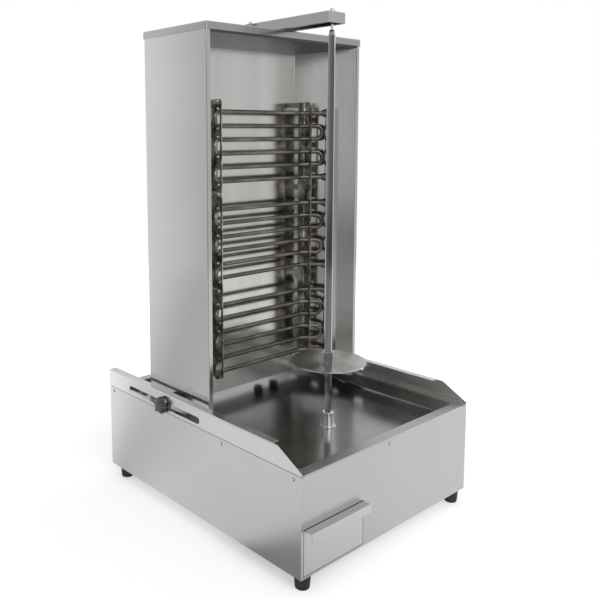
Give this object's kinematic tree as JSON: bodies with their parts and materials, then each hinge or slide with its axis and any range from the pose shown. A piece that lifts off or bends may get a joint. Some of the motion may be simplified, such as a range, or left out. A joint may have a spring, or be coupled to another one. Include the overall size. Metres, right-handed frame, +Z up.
{
  "type": "doner kebab grill",
  "caption": "Upright electric grill: sliding heater tower with tubular elements over a drip pan, driven spit with disc, top arm, grease drawer",
  "frame": {"origin": "middle of the overall box at the level that the feet stand on", "axes": "+Z up, X across the width, -Y towards the drawer and the spit"},
  "size_m": [0.488, 0.598, 0.9427],
  "materials": {
    "casing_steel": "satin brushed stainless sheet",
    "pan_steel": "polished stainless sheet, nearly a mirror",
    "reflector_steel": "bright rolled stainless sheet with heat marks",
    "plain_steel": "mill finish sheet",
    "scorched_plate": "heat-darkened, mottled plate",
    "element_sheath": "drawn tube sheath, dull with bright highlights",
    "element_brass": "dull gland nuts",
    "spit_steel": "ground stainless",
    "boss_chrome": "polished",
    "bright_fasteners": "bright turned steel",
    "cast_housing": "painted casting",
    "motor_paint": "black paint",
    "mineral_board": "pressed mineral fibre",
    "black_rubber": "matt black rubber",
    "lead_rubber": "heat-proof lead sheath",
    "knob_plastic": "fine-grained black plastic",
    "black_plastic": "black plastic",
    "grey_plastic": "grey moulding",
    "rocker_plastic": "green glossy rocker",
    "lamp_amber": "amber lens"
  },
  "bodies": {
    "base": {"base_casing": "casing_steel", "front_panel": "casing_steel", "base_floor": "plain_steel", "side_rails": "plain_steel", "casing_screws": "bright_fasteners", "feet": "black_rubber", "foot_screws": "bright_fasteners", "drip_pan": "pan_steel", "drain_spout": "plain_steel", "guard_left": "casing_steel", "guard_right": "casing_steel", "drawer_runners": "plain_steel", "motor_bracket": "plain_steel", "gearbox": "cast_housing", "motor": "motor_paint", "shaft_seal": "bright_fasteners", "terminal_box": "grey_plastic", "base_wiring": "lead_rubber", "base_glands": "black_plastic"},
    "drawer": {"drawer_tray": "plain_steel", "drawer_front": "casing_steel"},
    "spit": {"drive_shaft": "bright_fasteners", "drive_boss": "boss_chrome", "spit_bar": "spit_steel", "spit_disc": "spit_steel", "disc_hub": "spit_steel"},
    "tower": {"tower_shell": "casing_steel", "rear_panel": "casing_steel", "reflector": "reflector_steel", "tower_lid": "casing_steel", "ceiling_panel": "reflector_steel", "bottom_plate": "plain_steel", "insulation_board": "mineral_board", "heating_elements": "element_sheath", "element_plate_left": "scorched_plate", "element_plate_right": "scorched_plate", "plate_straps": "scorched_plate", "tower_screws": "bright_fasteners", "gland_nuts": "element_brass", "terminal_duct": "reflector_steel", "wiring_loom": "lead_rubber", "clamp_brackets": "plain_steel", "slide_shoes": "plain_steel", "heat_regulators": "grey_plastic", "switch_housing": "black_plastic", "pilot_lamps": "lamp_amber", "tower_glands": "black_plastic"},
    "left_clamp": {"clamp_knob_left": "knob_plastic", "clamp_stud_left": "bright_fasteners"},
    "right_clamp": {"clamp_knob_right": "knob_plastic", "clamp_stud_right": "bright_fasteners"},
    "bottom_heat": {"heat_knob_bottom": "black_plastic"},
    "middle_heat": {"heat_knob_middle": "black_plastic"},
    "top_heat": {"heat_knob_top": "black_plastic"},
    "rocker": {"motor_rocker": "rocker_plastic"},
    "arm": {"top_arm": "casing_steel", "arm_screws": "bright_fasteners", "arm_nut_plate": "plain_steel", "pin_bush": "bright_fasteners"},
    "pin": {"top_pin": "bright_fasteners"}
  },
  "joints": [
    {"name": "drawer_slide", "type": "slide", "parent": "base", "child": "drawer", "axis": [0, -1, 0], "range_m": [0, 0.25]},
    {"name": "spit_spin", "type": "hinge", "parent": "base", "child": "spit", "pos_m": [0, -0.1277, 0.2], "axis": [0, 0, 1], "continuous": true},
    {"name": "tower_slide", "type": "slide", "parent": "base", "child": "tower", "axis": [0, 1, 0], "range_m": [-0.09, 0.07]},
    {"name": "arm_slide", "type": "slide", "parent": "tower", "child": "arm", "axis": [0, 1, 0], "range_m": [-0.07, 0.09]},
    {"name": "pin_lift", "type": "slide", "parent": "arm", "child": "pin", "axis": [0, 0, 1], "range_m": [0, 0.025]},
    {"name": "left_clamp_turn", "type": "hinge", "parent": "tower", "child": "left_clamp", "pos_m": [-0.238, 0.087, 0.208], "axis": [1, 0, 0], "range_deg": [0, 360]},
    {"name": "right_clamp_turn", "type": "hinge", "parent": "tower", "child": "right_clamp", "pos_m": [0.238, 0.087, 0.208], "axis": [1, 0, 0], "range_deg": [0, 360]},
    {"name": "bottom_heat_turn", "type": "hinge", "parent": "tower", "child": "bottom_heat", "pos_m": [0.1, 0.177, 0.4], "axis": [0, 1, 0], "range_deg": [0, 270]},
    {"name": "middle_heat_turn", "type": "hinge", "parent": "tower", "child": "middle_heat", "pos_m": [0.1, 0.177, 0.5], "axis": [0, 1, 0], "range_deg": [0, 270]},
    {"name": "top_heat_turn", "type": "hinge", "parent": "tower", "child": "top_heat", "pos_m": [0.1, 0.177, 0.6], "axis": [0, 1, 0], "range_deg": [0, 270]},
    {"name": "rocker_tilt", "type": "hinge", "parent": "tower", "child": "rocker", "pos_m": [0.1, 0.168, 0.69], "axis": [-1, 0, 0], "range_deg": [0, 16]}
  ],
  "couplings": [
    {"joint": "arm_slide", "follows": "tower_slide", "ratio": -1}
  ]
}
